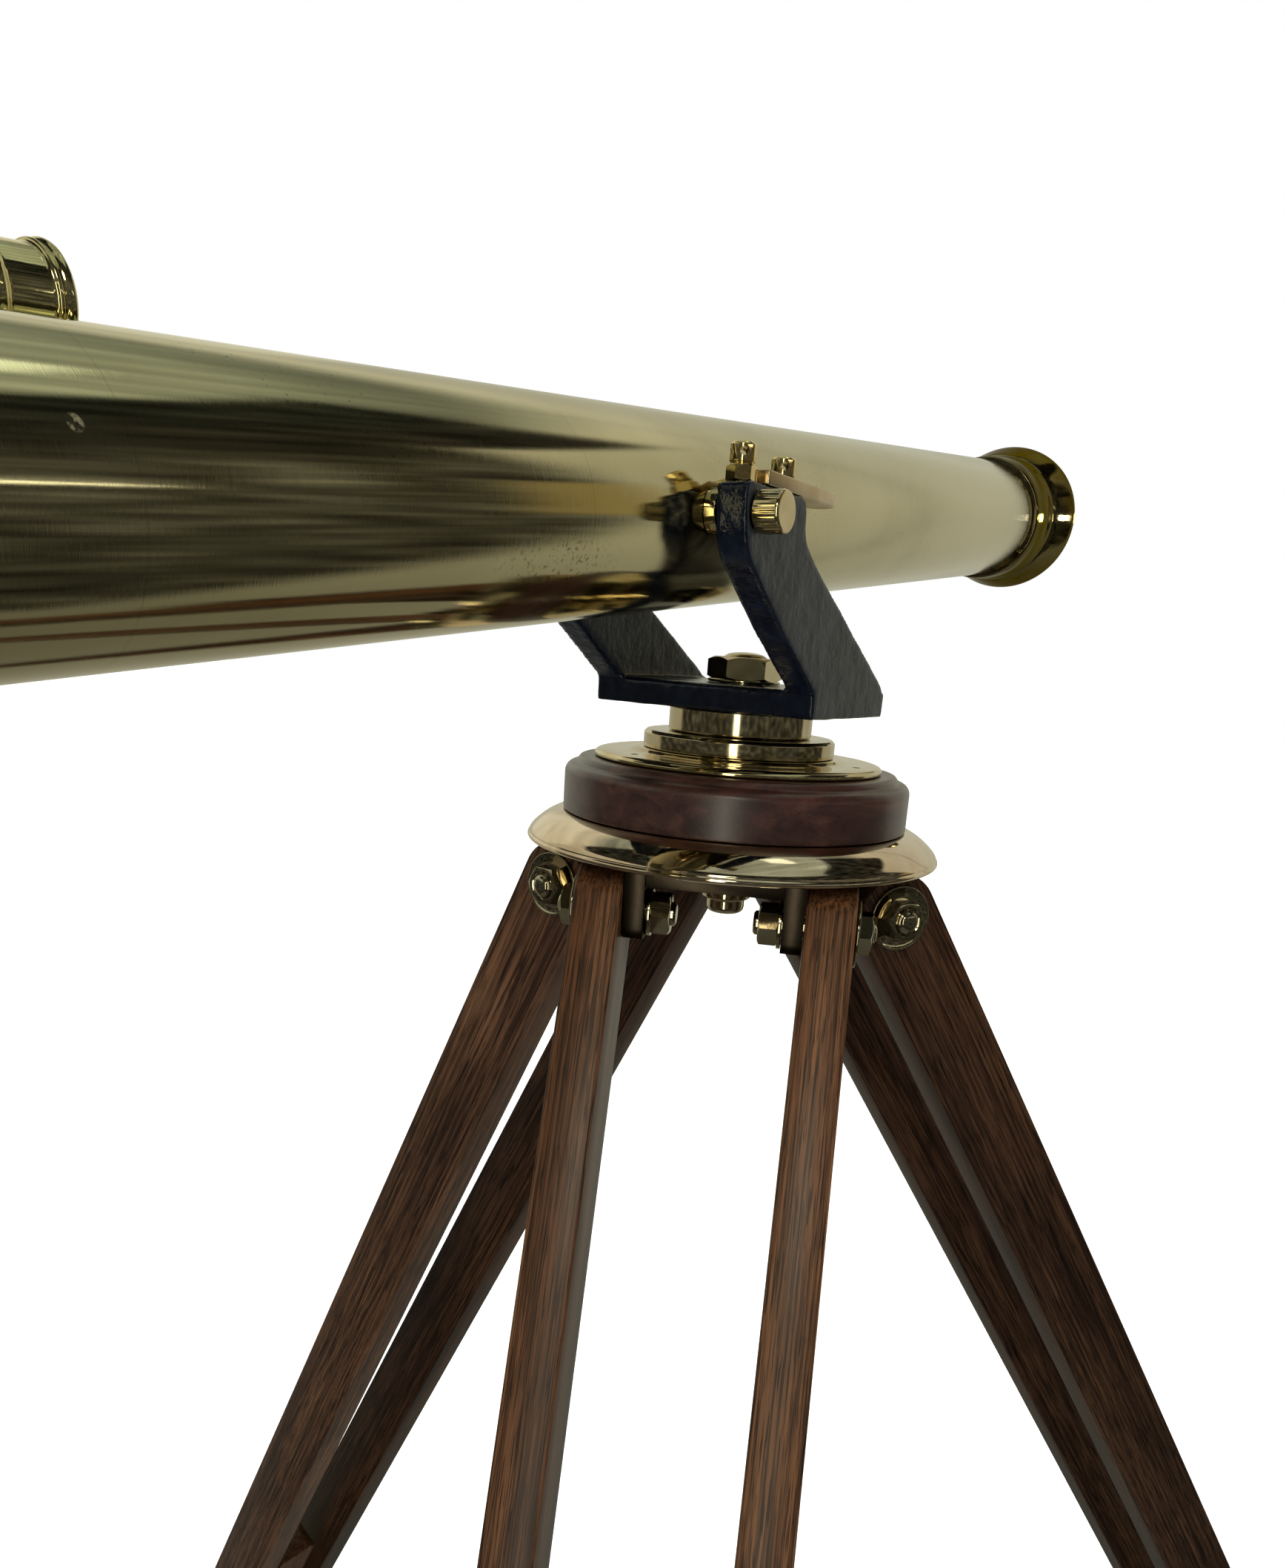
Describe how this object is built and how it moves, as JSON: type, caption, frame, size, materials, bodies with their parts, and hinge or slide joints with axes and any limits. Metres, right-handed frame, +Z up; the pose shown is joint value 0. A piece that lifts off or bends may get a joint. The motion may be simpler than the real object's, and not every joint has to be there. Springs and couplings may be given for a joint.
{
  "type": "telescope on a tripod",
  "caption": "Brass refracting telescope with finder, rack focuser, iron yoke and turning head on a three-legged wooden stand with sliding leg ends.",
  "frame": {"origin": "middle of the footprint at floor level", "axes": "+Z up, +X horizontally towards the objective, +Y towards the side that carries the finder"},
  "size_m": [1.4882, 1.2102, 1.4943],
  "materials": {
    "lacquered_brass": "aged, finely brushed and lacquered",
    "polished_brass": "polished",
    "rack_brass": "cut teeth, plain",
    "black_iron": "satin black paint, worn at the edges",
    "stained_wood": "dark stain, satin varnish",
    "dark_stained_wood": "dark red-brown stain, gloss varnish",
    "optical_glass": "polished"
  },
  "bodies": {
    "head": {"leg_flange": "polished_brass", "head_disc": "dark_stained_wood", "head_plate": "polished_brass", "azimuth_ring_lower": "polished_brass", "pivot_bolt": "polished_brass", "pivot_nut": "polished_brass", "lug_spider": "polished_brass", "hinge_bolt_front_a": "polished_brass", "hinge_bolt_front_b": "polished_brass", "hinge_bolt_right_a": "polished_brass", "hinge_bolt_right_b": "polished_brass", "hinge_bolt_left_a": "polished_brass", "hinge_bolt_left_b": "polished_brass"},
    "yoke_body": {"yoke": "black_iron", "azimuth_ring_upper": "polished_brass", "keeper_bar_near": "polished_brass", "keeper_bar_far": "polished_brass"},
    "tube": {"main_tube": "lacquered_brass", "objective_cell": "polished_brass", "objective_crown_lens": "optical_glass", "objective_flint_lens": "optical_glass", "tail_collar": "polished_brass", "trunnion_near": "polished_brass", "trunnion_far": "polished_brass", "focuser_body": "polished_brass", "finder_tube": "lacquered_brass", "finder_objective_cell": "polished_brass", "finder_objective_lens": "optical_glass", "finder_bracket_front": "polished_brass", "finder_bracket_rear": "polished_brass"},
    "draw": {"draw_tube": "lacquered_brass", "focus_rack": "rack_brass"},
    "pinion": {"focus_pinion": "polished_brass", "focus_knob": "polished_brass"},
    "eyepiece": {"eyepiece_barrel": "polished_brass", "eyepiece_field_lens": "optical_glass", "eyepiece_eye_lens": "optical_glass"},
    "finder_ocular": {"finder_eyepiece": "polished_brass"},
    "leg_front": {"leg_bar_front_a": "stained_wood", "leg_bar_front_b": "stained_wood", "leg_clamp_front": "polished_brass"},
    "slider_front": {"leg_slider_front": "stained_wood", "leg_foot_front": "polished_brass"},
    "thumb_screw_front": {"clamp_knob_front": "polished_brass"},
    "leg_right": {"leg_bar_right_a": "stained_wood", "leg_bar_right_b": "stained_wood", "leg_clamp_right": "polished_brass"},
    "slider_right": {"leg_slider_right": "stained_wood", "leg_foot_right": "polished_brass"},
    "thumb_screw_right": {"clamp_knob_right": "polished_brass"},
    "leg_left": {"leg_bar_left_a": "stained_wood", "leg_bar_left_b": "stained_wood", "leg_clamp_left": "polished_brass"},
    "slider_left": {"leg_slider_left": "stained_wood", "leg_foot_left": "polished_brass"},
    "thumb_screw_left": {"clamp_knob_left": "polished_brass"},
    "screw_near_rear": {"clamp_screw_near_rear": "polished_brass"},
    "screw_near_front": {"clamp_screw_near_front": "polished_brass"},
    "screw_far_rear": {"clamp_screw_far_rear": "polished_brass"},
    "screw_far_front": {"clamp_screw_far_front": "polished_brass"}
  },
  "joints": [
    {"name": "azimuth", "type": "hinge", "parent": "head", "child": "yoke_body", "pos_m": [0.02557, -0.08243, 1.292], "axis": [0, 0, 1], "continuous": true},
    {"name": "altitude", "type": "hinge", "parent": "yoke_body", "child": "tube", "pos_m": [-0.09043, -0.08243, 1.3756], "axis": [0, -1, 0], "range_deg": [-9.5, 55]},
    {"name": "focus", "type": "slide", "parent": "tube", "child": "draw", "axis": [0.993, 0, 0.1184], "range_m": [-0.03, 0.03]},
    {"name": "focus_pinion_turn", "type": "hinge", "parent": "tube", "child": "pinion", "pos_m": [-0.59027, -0.08243, 1.28538], "axis": [0, 1, 0], "range_deg": [-290, 290]},
    {"name": "eyepiece_pull", "type": "slide", "parent": "draw", "child": "eyepiece", "axis": [-0.993, 0, -0.1184], "range_m": [0, 0.015]},
    {"name": "finder_focus", "type": "slide", "parent": "tube", "child": "finder_ocular", "axis": [-0.993, 0, -0.1184], "range_m": [-0.006, 0.008]},
    {"name": "leg_front_hinge", "type": "hinge", "parent": "head", "child": "leg_front", "pos_m": [-0.03536, -0.10982, 1.1929], "axis": [-0.4099, 0.9121, 0], "range_deg": [-28.4, 0]},
    {"name": "leg_front_slide", "type": "slide", "parent": "leg_front", "child": "slider_front", "axis": [-0.4338, -0.195, -0.8796], "range_m": [-0.29, 0.08]},
    {"name": "clamp_knob_front_turn", "type": "hinge", "parent": "leg_front", "child": "thumb_screw_front", "pos_m": [-0.43795, -0.29075, 0.37659], "axis": [-0.8023, -0.3606, 0.4756], "range_deg": [0, 360]},
    {"name": "leg_right_hinge", "type": "hinge", "parent": "head", "child": "leg_right", "pos_m": [0.07975, -0.12151, 1.1929], "axis": [-0.585, -0.8111, 0], "range_deg": [-33.7, 0]},
    {"name": "leg_right_slide", "type": "slide", "parent": "leg_right", "child": "slider_right", "axis": [0.45, -0.3246, -0.832], "range_m": [-0.35, 0]},
    {"name": "clamp_knob_right_turn", "type": "hinge", "parent": "leg_right", "child": "thumb_screw_right", "pos_m": [0.49736, -0.4227, 0.42085], "axis": [0.6748, -0.4867, 0.5548], "range_deg": [0, 360]},
    {"name": "leg_left_hinge", "type": "hinge", "parent": "head", "child": "leg_left", "pos_m": [0.03232, -0.01598, 1.1929], "axis": [0.9949, -0.1011, 0], "range_deg": [-26.9, 0]},
    {"name": "leg_left_slide", "type": "slide", "parent": "leg_left", "child": "slider_left", "axis": [0.0457, 0.4501, -0.8918], "range_m": [-0.27, 0.09]},
    {"name": "clamp_knob_left_turn", "type": "hinge", "parent": "leg_left", "child": "thumb_screw_left", "pos_m": [0.07475, 0.40173, 0.36531], "axis": [0.0901, 0.8872, 0.4524], "range_deg": [0, 360]},
    {"name": "clamp_screw_near_rear_turn", "type": "hinge", "parent": "yoke_body", "child": "screw_near_rear", "pos_m": [-0.09143, -0.13563, 1.3965], "axis": [0, 0, 1], "range_deg": [0, 360]},
    {"name": "clamp_screw_near_front_turn", "type": "hinge", "parent": "yoke_body", "child": "screw_near_front", "pos_m": [-0.05543, -0.13563, 1.3965], "axis": [0, 0, 1], "range_deg": [0, 360]},
    {"name": "clamp_screw_far_rear_turn", "type": "hinge", "parent": "yoke_body", "child": "screw_far_rear", "pos_m": [-0.09143, -0.02923, 1.3965], "axis": [0, 0, 1], "range_deg": [0, 360]},
    {"name": "clamp_screw_far_front_turn", "type": "hinge", "parent": "yoke_body", "child": "screw_far_front", "pos_m": [-0.05543, -0.02923, 1.3965], "axis": [0, 0, 1], "range_deg": [0, 360]}
  ],
  "couplings": [
    {"joint": "focus_pinion_turn", "follows": "focus", "rad_per_m": 166.67}
  ]
}
